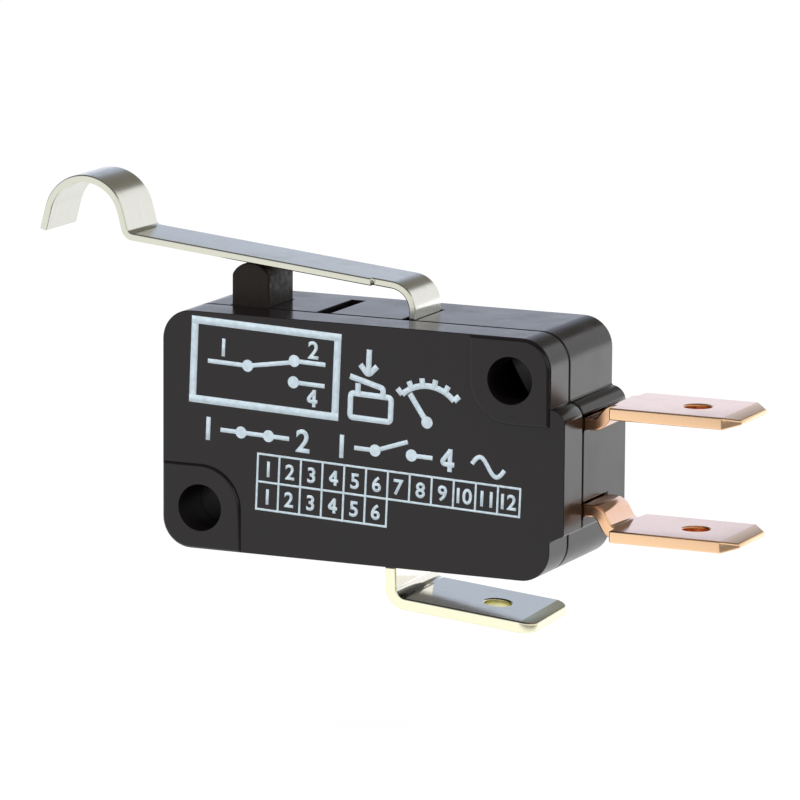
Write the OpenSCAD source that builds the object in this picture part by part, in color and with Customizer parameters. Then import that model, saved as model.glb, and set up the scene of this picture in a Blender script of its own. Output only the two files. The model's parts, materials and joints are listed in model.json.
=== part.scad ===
// Snap-action micro switch with a lever whose end is rolled into a simulated roller.
// Millimetres. +X runs along the body to the terminals, +Y from the cover to the back, +Z up.
// The origin is on the axis of the lower mounting hole, halfway through the body.

/* [Body] */
// Distance between the mounting holes along the body
hole_pitch_x = 22.2; // [21:0.1:24]
// Distance between the mounting holes up the body
hole_pitch_z = 10.3; // [10:0.1:11.5]
// Diameter of the mounting holes
hole_d = 3.1; // [2.6:0.1:3.3]
// Distance from a mounting hole's axis to the nearest outer edges
hole_margin = 2.8; // [2.7:0.1:3.2]
// Thickness of the body, front to back
body_t = 10.3; // [10:0.1:12]
// Thickness of the moulded walls
wall = 1.2; // [1:0.1:1.4]
// Radius of the body's corners
corner_r = 2; // [1.6:0.1:2.4]
// How far the end block stands out round the terminals
block_out = 1; // [0.8:0.1:1.3]

/* [Front face] */
// Radius of the raised pad round each mounting hole
pad_r = 2.9; // [2.7:0.1:3.2]
// Height of the pads above the front face
pad_rise = 0.2; // [0.1:0.05:0.4]

/* [Plunger] */
// Distance from the lower mounting hole's axis to the plunger's axis
plunger_x = 2; // [1.8:0.1:2.4]
// Width of the plunger's head along the body
plunger_w = 2.7; // [2.4:0.1:3]
// Radius of the plunger's domed top
dome_r = 1.52; // [1.5:0.02:2]

/* [Lever] */
// Thickness of the lever's sheet
lever_t = 0.5; // [0.4:0.05:0.6]
// Width of the lever
lever_w = 4.4; // [4:0.1:4.8]
// Distance from the lower mounting hole's axis to the lever's pivot
pivot_x = 13.7; // [13:0.1:14.5]
// Depth of the pivot below the top of the body
pivot_depth = 1.7; // [1.6:0.1:2]
// Slope of the lever at rest, rising away from its pivot
lever_slope = 5.65; // [5:0.05:7]
// Distance from the pivot to the middle of the rolled end
lever_reach = 23.84; // [22:0.1:26]
// Outside radius of the rolled end
roller_r = 3.02; // [2.6:0.02:3.4]
// Height of the straight leg between the strip and the rolled end
roller_leg = 1.19; // [0.8:0.01:1.6]
// Length of the free tip beyond the rolled end
tip_leg = 1.67; // [1:0.01:2.2]

/* [Terminals] */
// Width of a blade terminal
tab_w = 6.35; // [6:0.05:6.6]
// Thickness of the terminals' sheet
tab_t = 0.8; // [0.7:0.05:0.85]
// Width of a terminal where it passes through the body
neck_w = 4; // [3.4:0.1:4.2]
// Reach of the side terminals beyond the end block
tab_reach = 11; // [10:0.1:13]
// Diameter of the hole in a blade terminal
tab_hole_d = 1.8; // [1.4:0.1:2]
// Distance from a blade terminal's tip to its hole
tab_hole_inset = 3.9; // [3.5:0.05:4.5]
// Height of the lower terminal's exit above the lower hole's axis
lower_exit_z = 1.55; // [1.4:0.05:1.7]
// Step up of the upper terminal outside the body
upper_step = 1.01; // [0.8:0.01:1.3]
// Step down of the lower terminal outside the body
lower_step = 1.33; // [1:0.01:1.6]
// Distance from the lower mounting hole's axis to the common terminal's leg
common_x = 12.85; // [12.3:0.05:13.4]
// Drop of the common terminal's tab below the body
common_drop = 2.73; // [2.5:0.01:3.4]
// Reach of the common terminal's tab beyond its leg
common_reach = 10.15; // [9:0.05:11]
// Downward tilt of the common terminal's tab
common_tilt = 5.2; // [0:0.1:8]
// Sideways roll of the common terminal's tab, with its rear edge up
common_roll = 2.4; // [0:0.1:4]

/* [Mechanism] */
// Distance from the lower mounting hole's axis to the contacts
contact_x = 18.4; // [18:0.1:18.6]
// Radius of the contacts
contact_r = 1.25; // [1:0.05:1.3]
// Gap between the moving contact and the open contact
contact_gap = 0.8; // [0.7:0.05:0.9]
// Thickness of the snap blade
blade_t = 0.2; // [0.15:0.01:0.25]
// Width of the snap blade
blade_w = 3.6; // [3:0.1:3.8]

/* [Hidden] */
$fn = 64;

// Clearances
slide_gap = 0.06;
seat_gap = 0.05;
touch_gap = 0.03;
bead_gap = 0.08;
cut = 0.5;

// Body
left_x = -hole_margin;
right_x = hole_pitch_x + hole_margin;
bottom_z = -hole_margin;
top_z = hole_pitch_z + hole_margin;
front_y = -body_t / 2;
back_y = body_t / 2;
parting_y = -neck_w / 2 - seat_gap;
pad_y = front_y - pad_rise;
pad_inset = 0.06;
parting_line_w = 0.18;
parting_line_d = 0.15;
boss_wall = 0.95;
boss_r = hole_d / 2 + boss_wall;
roof_z = top_z - wall;
floor_z = bottom_z + wall;
pin_r = 0.6;
pin_len = 1.6;
post_r = 1.2;
post_inset = 1.5;
pin_places = [[left_x + post_inset, top_z - post_inset], [right_x - post_inset, bottom_z + post_inset]];

// Exits of the side terminals, and the end block round them
bend_r = 0.4;
bend_rc = bend_r + tab_t / 2;
bend_step = 5;
boss_air = 0.15;
upper_exit_z = hole_pitch_z - boss_r - boss_air - tab_t / 2;
block_x = right_x + block_out;
block_top = upper_exit_z + tab_t / 2 + block_out - seat_gap;
block_below = 1.64;
block_low = lower_exit_z - block_below;
block_draft = 0.47;
exit_notch = 0.35;
key_inset = 0.5;
key_x = right_x - key_inset;
key_w = 0.8;
key_d = 0.5;
step_start = 0.6;
upper_angle = 50;
lower_angle = 60;
tab_corner = 0.95;
tab_round = 1;
side_bevel = 0.25;
common_bevel = 0.12;
turn_r = 0.7;
shoulder_air = 0.3;
shoulder_z = bottom_z - shoulder_air;

// Levels of the mechanism, from the closed contact downwards
head_h = 0.45;
closed_head_h = 0.57;
open_head_h = 0.6;
shank_r = 0.5;
tail_r = 0.75;
tail_h = 0.25;
crown = 0.12;
closed_face_z = upper_exit_z - tab_t / 2 - closed_head_h;
blade_z = closed_face_z - touch_gap - head_h - blade_t / 2;
open_face_z = blade_z - blade_t / 2 - head_h - contact_gap;
open_plate_z = open_face_z - open_head_h - tab_t / 2;
lug_z = blade_z - blade_t / 2 - tab_t / 2;
plate_z = boss_r + 2 * seat_gap + tab_t / 2;
plate_lip = 1.6;
plate_x = contact_x - plate_lip;
open_plate_l = 3.6;
rest_w = 0.8;
upright_x = left_x + wall + seat_gap + tab_t / 2;
rivet_r = 0.35;
rivet_head_r = 0.6;
rivet_head_h = 0.35;
anchor_x = upright_x + bend_rc + rivet_head_r;
lug_end = anchor_x + rivet_head_r;

// Lever: neck, sloping strip, heel, leg, rolled end and free tip
pivot_z = top_z - pivot_depth;
bead_r = 0.6;
neck_run = 2.23;
neck_bend_r = 1.4;
heel_r = 0.4;
leg_splay = 15;
neck_air = 0.2;
trimmed_y = parting_y + neck_air;
neck_trim_l = 2.8;
neck_trim_x = pivot_x - neck_trim_l;
neck_rc = neck_bend_r + lever_t / 2;
heel_rc = heel_r + lever_t / 2;
roller_rc = roller_r - lever_t / 2;
strip_run = (lever_reach - neck_rc * (1 - sin(lever_slope)) - heel_rc * (cos(leg_splay) - sin(lever_slope))
    - roller_leg * sin(leg_splay) - roller_rc * cos(leg_splay)) / cos(lever_slope);
lever_path = [
    [neck_run, 90 - lever_slope, neck_bend_r],
    [strip_run, lever_slope + leg_splay - 90, heel_r],
    [roller_leg, 180 - 2 * leg_splay, roller_r - lever_t],
    [tip_leg, 0, 0]];
slot_w = 1;
slot_lead = 0.68;
slot_over = 0.45;
spare_over = 1.3;
spare_pitch = 6.15;
sockets = [[pivot_x, lever_w / 2 + slot_over], [pivot_x - spare_pitch, lever_w / 2 + spare_over]];
socket_margin = 0.9;

// Plunger, set so that its dome meets the underside of the resting lever
strip_offset = cos(lever_slope) * (neck_run + neck_rc * cos(lever_slope))
    - sin(lever_slope) * neck_rc * (1 - sin(lever_slope));
dome_z = pivot_z + (strip_offset - lever_t / 2 - dome_r - touch_gap
    + sin(lever_slope) * (pivot_x - plunger_x)) / cos(lever_slope);
plunger_inset = 0.1;
plunger_d = neck_w - 2 * plunger_inset;
collar_ledge = 0.55;
collar_w = plunger_w + 2 * collar_ledge;
collar_h = 2.5;
collar_air = 0.2;
collar_top = roof_z - collar_air;
stem_w = 1.8;
nose_w = 1;
nose_z = blade_z + blade_t / 2 + touch_gap;
rib_t = 0.8;
rib_air = 1.3;
rib_low = blade_z + rib_air;

// Snap blade
tongue_w = 1.2;
window_w = 1.7;
window_start = 2.5;
window_end = 1.6;
window_x = [plunger_x + window_start, common_x + window_end];
tongue_root = 0.3;
tongue_run = 1;
tongue_tip = 0.6;
tongue_dip_angle = 28;
tongue_rise_angle = 48;
tongue_bow_r = 4;
tongue_path = [[tongue_root, tongue_dip_angle, tongue_bow_r],
    [tongue_run, -tongue_rise_angle, tongue_bow_r], [tongue_tip, 0, 0]];
tongue_line = strip_line(tongue_path, blade_t, window_x[1], blade_z, 180);
tongue_end = last(tongue_line);
notch_d = 0.35;
tongue_bite = 0.2;
post_x = tongue_end[0] + tongue_bite - tab_t;
blade_margin = 0.75;
blade_tail = anchor_x - blade_margin;
blade_tip = contact_x + contact_r;

// Colours
plastic = "#383536";
dark_plastic = "#2c2826";
steel = "#c9cac6";
plated_brass = "#d5d2b4";
copper = "#d8905f";
silver = "#d9d9d6";
spring_bronze = "#c8954f";

// Places along the middle line of a bent strip, each as [x, z, heading].
// Steps are [straight length, turn, inside radius], and a bend is followed in small turns.
function strip_line(steps, t, x, z, heading, i = 0) =
    i == len(steps) ? [] :
    let (
        r = sign(steps[i][1]) * (steps[i][2] + t / 2),
        n = ceil(abs(steps[i][1]) / bend_step),
        x1 = x + steps[i][0] * cos(heading),
        z1 = z + steps[i][0] * sin(heading),
        turns = [for (k = [0 : n]) heading + (n == 0 ? 0 : steps[i][1] * k / n)],
        places = [for (a = turns) [x1 + r * (sin(a) - sin(heading)), z1 - r * (cos(a) - cos(heading)), a]],
        end = places[n])
    concat(i == 0 ? [[x, z, heading]] : [], places, strip_line(steps, t, end[0], end[1], end[2], i + 1));

// Last place of a line
function last(line) = line[len(line) - 1];

// The line moved sideways by d, to the left of its heading
function beside(line, d) = [for (p = line) [p[0] - d * sin(p[2]), p[1] + d * cos(p[2])]];

function backwards(points) = [for (k = [len(points) - 1 : -1 : 0]) points[k]];

// Straight part of a joggle, and the length that the whole joggle takes up
function joggle_run(step, angle, r) = (step - 2 * r * (1 - cos(angle))) / sin(angle);
function joggle_length(step, angle, r) = 2 * r * sin(angle) + joggle_run(step, angle, r) * cos(angle);

// Sweeps an outline drawn in the X-Z plane from y0 to y1
module slab(y0, y1) {
    translate([0, y1, 0])
        rotate([90, 0, 0])
            linear_extrude(y1 - y0)
                children();
}

// Round bar along Y
module bar(x, z, r, y0, y1) {
    translate([x, y1, z])
        rotate([90, 0, 0])
            cylinder(r = r, h = y1 - y0);
}

// Rectangular block from its two corners
module block(low, high) {
    translate(low)
        cube(high - low);
}

// Rectangle with round corners
module rounded_plate(x0, x1, z0, z1, r) {
    polygon([[x0 + r, z0], [x1 - r, z0], [x1, z0 + r], [x1, z1 - r],
        [x1 - r, z1], [x0 + r, z1], [x0, z1 - r], [x0, z0 + r]]);
    for (x = [x0 + r, x1 - r], z = [z0 + r, z1 - r])
        translate([x, z])
            circle(r);
}

// Side view of a bent strip of thickness t
module strip(line, t) {
    polygon(concat(beside(line, t / 2), backwards(beside(line, -t / 2))));
}

// Outline of the body, with the block round the side terminals, drawn in by d all round
module body_outline(d = 0) {
    rounded_plate(left_x + d, right_x - d, bottom_z + d, top_z - d, corner_r - d);
    polygon([[right_x - wall, block_low + d], [right_x, block_low + d],
        [block_x - d, block_low + block_draft + d], [block_x - d, block_top - block_out],
        [right_x, block_top - d], [right_x - wall, block_top - d]]);
    translate([right_x, block_top - block_out])
        circle(block_out - d);
}

// Hollow inside the walls
module cavity_outline() {
    rounded_plate(left_x + wall, right_x - wall, floor_z, roof_z, corner_r - wall / 2);
}

// Solid places that run through both halves: hole bosses, pin posts and lever sockets
module core_outline() {
    for (k = [0, 1])
        translate([k * hole_pitch_x, k * hole_pitch_z])
            circle(boss_r);
    for (p = pin_places)
        translate(p)
            circle(post_r);
    for (s = sockets)
        translate([s[0] - bead_r - socket_margin, pivot_z - bead_r - socket_margin])
            square([2 * (bead_r + socket_margin), top_z - wall / 2 - (pivot_z - bead_r - socket_margin)]);
}

// Pad round a hole: round towards the middle of the body, square towards its corner
module pad_outline() {
    reach = hole_margin + cut;
    circle(pad_r);
    translate([-reach, -reach])
        square([reach + pad_r, reach]);
    translate([-reach, -reach])
        square([reach, reach + pad_r]);
}

// Both pads, kept just inside the outline of the body
module pads() {
    intersection() {
        rounded_plate(left_x + pad_inset, right_x - pad_inset, bottom_z + pad_inset, top_z - pad_inset,
            corner_r - pad_inset);
        union() {
            pad_outline();
            translate([hole_pitch_x, hole_pitch_z])
                rotate(180)
                    pad_outline();
        }
    }
}

module mounting_bores() {
    for (k = [0, 1])
        bar(k * hole_pitch_x, k * hole_pitch_z, hole_d / 2, pad_y - cut, back_y + cut);
}

// Small lead-in at the parting plane above and below a side terminal
module exit_notches() {
    for (z = [lower_exit_z, upper_exit_z], side = [-1, 1])
        translate([block_x - exit_notch, parting_y, z + side * (tab_t / 2 + seat_gap)])
            rotate([45, 0, 0])
                translate([0, -exit_notch / 2, -exit_notch / 2])
                    cube([exit_notch + cut, exit_notch, exit_notch]);
}

// Key in the wall that locks a side terminal against pulling out
module neck_key(z, grow) {
    block([key_x - grow, neck_w / 2 - key_d - grow, z - tab_t / 2 - cut],
        [key_x + key_w + grow, neck_w / 2 + cut, z + tab_t / 2 + cut]);
}

// Slot in the end wall for a side terminal, open to the parting plane
module terminal_slot(z) {
    gap = tab_t / 2 + seat_gap;
    difference() {
        block([right_x - wall - cut, parting_y - cut, z - gap],
            [block_x + cut, neck_w / 2 + seat_gap, z + gap]);
        neck_key(z, 0);
    }
}

// Socket for the lever's rolled foot, with a slot that lets the neck swing and ends at y1
module lever_socket(x, y1) {
    bar(x, pivot_z, bead_r + bead_gap, parting_y - cut, y1);
    block([x - slot_lead, parting_y - cut, pivot_z], [x - slot_lead + slot_w, y1, top_z + cut]);
}

// Ribs that steady the plunger's collar and the two contact plates
module case_ribs() {
    half = collar_w / 2 + slide_gap;
    for (side = [-1, 1])
        block([plunger_x + side * (half + rib_t / 2) - rib_t / 2, parting_y, rib_low],
            [plunger_x + side * (half + rib_t / 2) + rib_t / 2, back_y - wall, roof_z]);
    block([contact_x - rest_w, -neck_w / 2, floor_z],
        [contact_x + rest_w, back_y - wall, open_plate_z - tab_t / 2 - tail_h - seat_gap]);
    block([plate_x, -neck_w / 2, upper_exit_z + tab_t / 2 + seat_gap],
        [plate_x + rest_w, back_y - wall, roof_z]);
}

module case() {
    color(plastic)
        difference() {
            union() {
                difference() {
                    slab(parting_y, back_y)
                        body_outline();
                    slab(parting_y - cut, back_y - wall)
                        difference() {
                            cavity_outline();
                            core_outline();
                        }
                }
                case_ribs();
            }
            mounting_bores();
            exit_notches();
            for (z = [lower_exit_z, upper_exit_z])
                terminal_slot(z);
            for (s = sockets)
                lever_socket(s[0], s[1]);
            for (p = pin_places)
                bar(p[0], p[1], pin_r + seat_gap, parting_y - cut, parting_y + pin_len + seat_gap);
            block([plunger_x - plunger_w / 2 - slide_gap, parting_y - cut, roof_z - cut],
                [plunger_x + plunger_w / 2 + slide_gap, plunger_d / 2 + slide_gap, top_z + cut]);
            block([common_x - tab_t / 2 - seat_gap, parting_y - cut, bottom_z - cut],
                [common_x + tab_t / 2 + seat_gap, neck_w / 2 + seat_gap, floor_z + cut]);
        }
}

module cover() {
    color(plastic) {
        difference() {
            union() {
                slab(front_y, parting_y - parting_line_w)
                    body_outline();
                slab(front_y, parting_y)
                    body_outline(parting_line_d);
                slab(pad_y, front_y + wall / 2)
                    pads();
            }
            slab(front_y + wall, parting_y + cut)
                difference() {
                    cavity_outline();
                    core_outline();
                }
            mounting_bores();
            exit_notches();
        }
        for (p = pin_places)
            bar(p[0], p[1], pin_r, parting_y - wall, parting_y + pin_len);
    }
}

module plunger() {
    half = plunger_w / 2;
    collar_low = collar_top - collar_h;
    color(dark_plastic)
        slab(-plunger_d / 2, plunger_d / 2)
            translate([plunger_x, 0]) {
                intersection() {
                    translate([0, dome_z])
                        circle(dome_r);
                    translate([-half, dome_z])
                        square([plunger_w, dome_r]);
                }
                translate([-half, collar_low])
                    square([plunger_w, dome_z - collar_low]);
                translate([-collar_w / 2, collar_low])
                    square([collar_w, collar_h]);
                polygon([[-stem_w / 2, collar_low], [-nose_w / 2, nose_z + nose_w / 2],
                    [nose_w / 2, nose_z + nose_w / 2], [stem_w / 2, collar_low]]);
                translate([0, nose_z + nose_w / 2])
                    circle(nose_w / 2);
            }
}

module lever() {
    color(steel)
        difference() {
            union() {
                slab(-lever_w / 2, lever_w / 2)
                    strip(strip_line(lever_path, lever_t, pivot_x, pivot_z, 90), lever_t);
                bar(pivot_x, pivot_z, bead_r, trimmed_y, lever_w / 2);
            }
            block([neck_trim_x, -lever_w, pivot_z - bead_r - cut],
                [pivot_x + neck_rc, trimmed_y, top_z + lever_reach]);
        }
}

// Hole and tip bevels of the given depth for a blade terminal along +X that ends at the origin
module tab_cuts(depth) {
    translate([-tab_hole_inset, 0, -tab_t])
        cylinder(d = tab_hole_d, h = 2 * tab_t);
    for (side = [-1, 1])
        turned(side)
            slab(-tab_w, tab_w)
                polygon([[-tab_corner, tab_t / 2], [tab_corner, tab_t / 2 - 2 * depth], [tab_corner, tab_t]]);
}

// Leaves a shape as it is, or turns it over
module turned(side) {
    if (side > 0)
        children();
    else
        mirror([0, 0, 1])
            children();
}

// Side terminal: a plate and neck that start at height z inside the body, and a blade outside it
module side_terminal(steps, z, exit_z) {
    shoulder = last(strip_line(steps, tab_t, plate_x, z, 0));
    half = tab_w / 2;
    tip = block_x + tab_reach;
    difference() {
        intersection() {
            slab(-tab_w, tab_w)
                strip(strip_line(concat(steps, [[tab_reach, 0, 0]]), tab_t, plate_x, z, 0), tab_t);
            translate([0, 0, bottom_z])
                linear_extrude(top_z - bottom_z)
                    polygon([[plate_x - cut, -neck_w / 2], [shoulder[0], -neck_w / 2], [shoulder[0], -half],
                        [tip - tab_corner, -half], [tip, tab_corner - half], [tip, half - tab_corner],
                        [tip - tab_corner, half], [shoulder[0], half], [shoulder[0], neck_w / 2],
                        [plate_x - cut, neck_w / 2]]);
        }
        neck_key(exit_z, seat_gap);
        translate([contact_x, 0, z - tab_t])
            cylinder(r = shank_r, h = 2 * tab_t);
        translate([tip, 0, shoulder[1]])
            tab_cuts(side_bevel);
    }
}

module normally_closed_terminal() {
    steps = [
        [block_x + step_start - plate_x, upper_angle, bend_r],
        [joggle_run(upper_step, upper_angle, bend_rc), -upper_angle, bend_r]];
    color(copper)
        side_terminal(steps, upper_exit_z, upper_exit_z);
}

module normally_open_terminal() {
    drop = open_plate_z - lower_exit_z;
    steps = [
        [open_plate_l, -lower_angle, bend_r],
        [joggle_run(drop, lower_angle, bend_rc), lower_angle, bend_r],
        [block_x + step_start - plate_x - open_plate_l - joggle_length(drop, lower_angle, bend_rc),
            -lower_angle, bend_r],
        [joggle_run(lower_step, lower_angle, bend_rc), lower_angle, bend_r]];
    color(copper)
        side_terminal(steps, open_plate_z, lower_exit_z);
}

// Plan of the common terminal's blade, from behind its leg to a tip with round corners
module common_plan(tip) {
    half = tab_w / 2;
    polygon([[common_x - tab_w, -half], [tip - tab_round, -half], [tip, tab_round - half],
        [tip, half - tab_round], [tip - tab_round, half], [common_x - tab_w, half]]);
    for (side = [-1, 1])
        translate([tip - tab_round, side * (half - tab_round)])
            circle(tab_round);
}

// Rolls a shape about the line along X through the common terminal's shoulders
module rolled() {
    translate([0, 0, shoulder_z])
        rotate([common_roll, 0, 0])
            translate([0, 0, -shoulder_z])
                children();
}

// Common terminal: anchor lug, upright, plate and leg inside, and a turned blade outside
module common_terminal() {
    steps = [
        [lug_end - upright_x - bend_rc, 90, bend_r],
        [lug_z - plate_z - 2 * bend_rc, 90, bend_r],
        [common_x - upright_x - 2 * bend_rc, -90, bend_r],
        [plate_z - bend_rc - bottom_z + common_drop - turn_r - tab_t / 2, 90 - common_tilt, turn_r]];
    turned_end = last(strip_line(steps, tab_t, lug_end, lug_z, 180));
    tip = common_x + common_reach;
    blade_l = (tip - turned_end[0]) / cos(common_tilt);
    line = strip_line(concat(steps, [[blade_l + cut, 0, 0]]), tab_t, lug_end, lug_z, 180);
    color(plated_brass) {
        difference() {
            intersection() {
                slab(-tab_w, tab_w)
                    strip(line, tab_t);
                block([left_x, -neck_w / 2, shoulder_z - cut], [lug_end + common_x, neck_w / 2, top_z]);
            }
            translate([anchor_x, 0, lug_z - tab_t])
                cylinder(r = rivet_r, h = 2 * tab_t);
            block([post_x + tab_t, -tongue_w / 2, plate_z - tab_t],
                [post_x + tab_t + plate_lip, tongue_w / 2, plate_z + tab_t]);
        }
        rolled()
            difference() {
                intersection() {
                    slab(-tab_w, tab_w)
                        strip(line, tab_t);
                    translate([0, 0, shoulder_z - common_drop - tab_w])
                        linear_extrude(common_drop + tab_w)
                            common_plan(tip);
                }
                translate([tip, 0, turned_end[1] - blade_l * sin(common_tilt)])
                    rotate([0, common_tilt, 0])
                        tab_cuts(common_bevel);
            }
        difference() {
            block([post_x, -tongue_w / 2, plate_z],
                [post_x + tab_t, tongue_w / 2, tongue_end[1] + 2 * notch_d]);
            translate([post_x + tab_t, 0, tongue_end[1]])
                rotate([0, 45, 0])
                    cube([notch_d * sqrt(2), tab_w, notch_d * sqrt(2)], center = true);
        }
    }
}

// Round contact rivet along +Z: crowned head under z = 0, shank through a plate, tail above it
module contact_rivet(height, plate) {
    translate([0, 0, -height])
        cylinder(r1 = contact_r - crown, r2 = contact_r, h = crown);
    translate([0, 0, crown - height])
        cylinder(r = contact_r, h = height - crown);
    cylinder(r = shank_r, h = plate);
    translate([0, 0, plate])
        cylinder(r1 = tail_r, r2 = shank_r, h = tail_h);
}

module normally_closed_contact() {
    color(silver)
        translate([contact_x, 0, upper_exit_z - tab_t / 2])
            contact_rivet(closed_head_h, tab_t);
}

module normally_open_contact() {
    color(silver)
        translate([contact_x, 0, open_plate_z + tab_t / 2])
            mirror([0, 0, 1])
                contact_rivet(open_head_h, tab_t);
}

module moving_contact() {
    color(silver)
        translate([contact_x, 0, blade_z]) {
            cylinder(r = shank_r, h = blade_t, center = true);
            for (side = [-1, 1])
                turned(side)
                    translate([0, 0, blade_t / 2]) {
                        cylinder(r = contact_r - crown, h = head_h - crown);
                        translate([0, 0, head_h - crown])
                            cylinder(r1 = contact_r - crown, r2 = contact_r - 2 * crown, h = crown);
                    }
        }
}

module snap_blade() {
    color(spring_bronze) {
        difference() {
            block([blade_tail, -blade_w / 2, blade_z - blade_t / 2],
                [blade_tip, blade_w / 2, blade_z + blade_t / 2]);
            block([window_x[0], -window_w / 2, blade_z - blade_t],
                [window_x[1], window_w / 2, blade_z + blade_t]);
            translate([anchor_x, 0, blade_z - blade_t])
                cylinder(r = rivet_r + touch_gap, h = 2 * blade_t);
            translate([contact_x, 0, blade_z - blade_t])
                cylinder(r = shank_r, h = 2 * blade_t);
        }
        slab(-tongue_w / 2, tongue_w / 2)
            strip(tongue_line, blade_t);
    }
}

module anchor_rivet() {
    top = blade_z + blade_t / 2;
    bottom = lug_z - tab_t / 2;
    color(steel) {
        translate([anchor_x, 0, bottom])
            cylinder(r = rivet_r, h = top - bottom);
        translate([anchor_x, 0, top])
            cylinder(r = rivet_head_r, h = rivet_head_h);
        translate([anchor_x, 0, bottom - rivet_head_h])
            cylinder(r = rivet_head_r, h = rivet_head_h);
    }
}

case();
cover();
plunger();
lever();
common_terminal();
normally_closed_terminal();
normally_open_terminal();
normally_closed_contact();
normally_open_contact();
moving_contact();
snap_blade();
anchor_rivet();
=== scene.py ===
"""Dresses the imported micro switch: broken edges, moulded, rolled and stamped finishes, and a front print.

It is laid out as a Blender add-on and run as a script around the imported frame. All lengths are in metres.
"""

import json
import math

import bmesh
import bpy
from bpy.props import FloatProperty, FloatVectorProperty, IntProperty, PointerProperty
from mathutils import Matrix, Vector
from mathutils.kdtree import KDTree


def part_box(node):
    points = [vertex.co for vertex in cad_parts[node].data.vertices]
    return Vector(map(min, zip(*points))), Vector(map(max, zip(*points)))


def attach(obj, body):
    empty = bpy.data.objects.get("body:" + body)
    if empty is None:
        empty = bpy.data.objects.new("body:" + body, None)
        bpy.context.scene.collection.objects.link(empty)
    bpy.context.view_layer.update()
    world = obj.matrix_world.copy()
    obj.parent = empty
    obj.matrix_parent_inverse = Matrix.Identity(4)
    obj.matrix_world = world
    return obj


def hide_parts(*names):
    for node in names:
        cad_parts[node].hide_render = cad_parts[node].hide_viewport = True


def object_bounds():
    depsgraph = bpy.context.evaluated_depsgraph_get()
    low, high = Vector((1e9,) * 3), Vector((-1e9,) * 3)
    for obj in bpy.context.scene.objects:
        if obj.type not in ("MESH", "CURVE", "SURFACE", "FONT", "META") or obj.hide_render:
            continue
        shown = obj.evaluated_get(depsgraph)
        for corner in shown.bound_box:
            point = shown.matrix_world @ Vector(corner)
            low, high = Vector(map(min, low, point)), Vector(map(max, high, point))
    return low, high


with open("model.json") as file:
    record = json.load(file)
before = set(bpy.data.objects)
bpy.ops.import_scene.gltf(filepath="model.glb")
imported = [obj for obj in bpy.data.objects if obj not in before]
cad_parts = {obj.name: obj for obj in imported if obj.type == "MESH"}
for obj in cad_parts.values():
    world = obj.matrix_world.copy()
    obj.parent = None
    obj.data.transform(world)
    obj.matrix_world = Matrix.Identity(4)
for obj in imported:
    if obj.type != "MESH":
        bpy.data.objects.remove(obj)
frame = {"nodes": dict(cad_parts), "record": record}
CAD_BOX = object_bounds()

bl_info = {
    "name": "Micro switch dressing",
    "version": (1, 0, 0),
    "blender": (4, 5, 0),
    "location": "3D View > Sidebar > Switch",
    "description": "Dresses a packed micro switch with finishes, broken edges and a plain front print",
    "category": "Object",
}

MM = 0.001
WHITE = (1.0, 1.0, 1.0, 1.0)

# Planes and holes of the body
BODY_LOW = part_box("case")[0]
BODY_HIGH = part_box("case")[1]
PARTING_Y = BODY_LOW.y
FRONT_Y = -BODY_HIGH.y
PAD_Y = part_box("cover")[0].y
HOLES = [m["pos_m"] for m in frame["record"]["mounts"] if m["kind"] == "bore"]

# Radii round a hole's axis that take in its wall, and its wall with its rim
HOLE_WALL = 1.58 * MM
HOLE_RIM = 1.7 * MM

# Tolerances for a place on a plane, from strict to loose
FLUSH = 0.001 * MM
NEAR = 0.01 * MM
LEVEL = 0.05 * MM

# Edges sharper than SHARP are broken, and a line of edges goes on where it turns less than SMOOTH_TURN
SHARP = math.radians(28)
SMOOTH_TURN = math.radians(35)

# Face attributes that the sheet finishes read: sheared edges, and walls of the tabs' holes, which get
# painted shade
CUT = "cut_edge"
HOLE_SHADE = "dull_face"


def length(name, description, default):
    """A length that a user may change."""
    return FloatProperty(
        name=name, description=description, default=default, min=0, precision=6, unit="LENGTH")


def angle(name, description, degrees):
    """An angle that a user may change."""
    return FloatProperty(name=name, description=description, default=math.radians(degrees), subtype="ANGLE")


def amount(name, description, default):
    """A plain number that a user may change."""
    return FloatProperty(name=name, description=description, default=default)


def colour(name, description, default):
    """A linear colour that a user may change."""
    return FloatVectorProperty(
        name=name, description=description, default=default, min=0, max=2, subtype="COLOR")


class SwitchEdges(bpy.types.PropertyGroup):
    """Sizes of the broken edges."""

    body: length("Body edges", "Rounding of the moulded body's edges", 0.16 * MM)
    front: length("Front edges", "Rounding of the front face's outline and of the holes' rims", 0.05 * MM)
    pads: length("Pad edges", "Rounding of the raised pads' edges", 0.19 * MM)
    parting: length("Parting edge", "Rounding of the case's outline where the cover meets it", 0.13 * MM)
    slots: length("Slot edges", "Rounding of the openings in the body's top and floor", 0.05 * MM)
    plunger: length("Plunger edges", "Rounding of the plunger's edges", 0.14 * MM)
    lever: length("Lever edges", "Rounding of the lever's sheared edges", 0.1 * MM)
    tabs: length("Terminal edges", "Rounding of the terminals' stamped edges", 0.12 * MM)
    steps: IntProperty(name="Steps", description="Faces across a rounded edge", default=3, min=1, max=6)


class SwitchPrint(bpy.types.PropertyGroup):
    """Sizes of the plain print on the front."""

    ink_height: length("Ink height", "Thickness of the printed ink", 0.015 * MM)
    ink_sunk: length("Ink sunk", "Depth to which the ink sits in the face", 0.003 * MM)
    skew: angle("Skew", "How far the print lies crooked on the face", 2.2)
    frame_stroke: length("Frame stroke", "Width of the frame's lines", 0.5 * MM)
    stroke: length("Stroke", "Width of the diagrams' lines", 0.29 * MM)
    bold: length("Bold stroke", "Width of the lines of the sign and the scale", 0.38 * MM)
    rule: length("Rule", "Width of the lines of the number table", 0.14 * MM)
    dot: length("Dot", "Radius of the contact dots", 0.4 * MM)
    number: length("Frame numbers", "Height of the terminal numbers in the frame", 1.15 * MM)
    row_number: length("Row numbers", "Height of the terminal numbers of the small diagrams", 1.5 * MM)
    small_number: length("Small numbers", "Height of the numbers in the table", 1.0 * MM)


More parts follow.
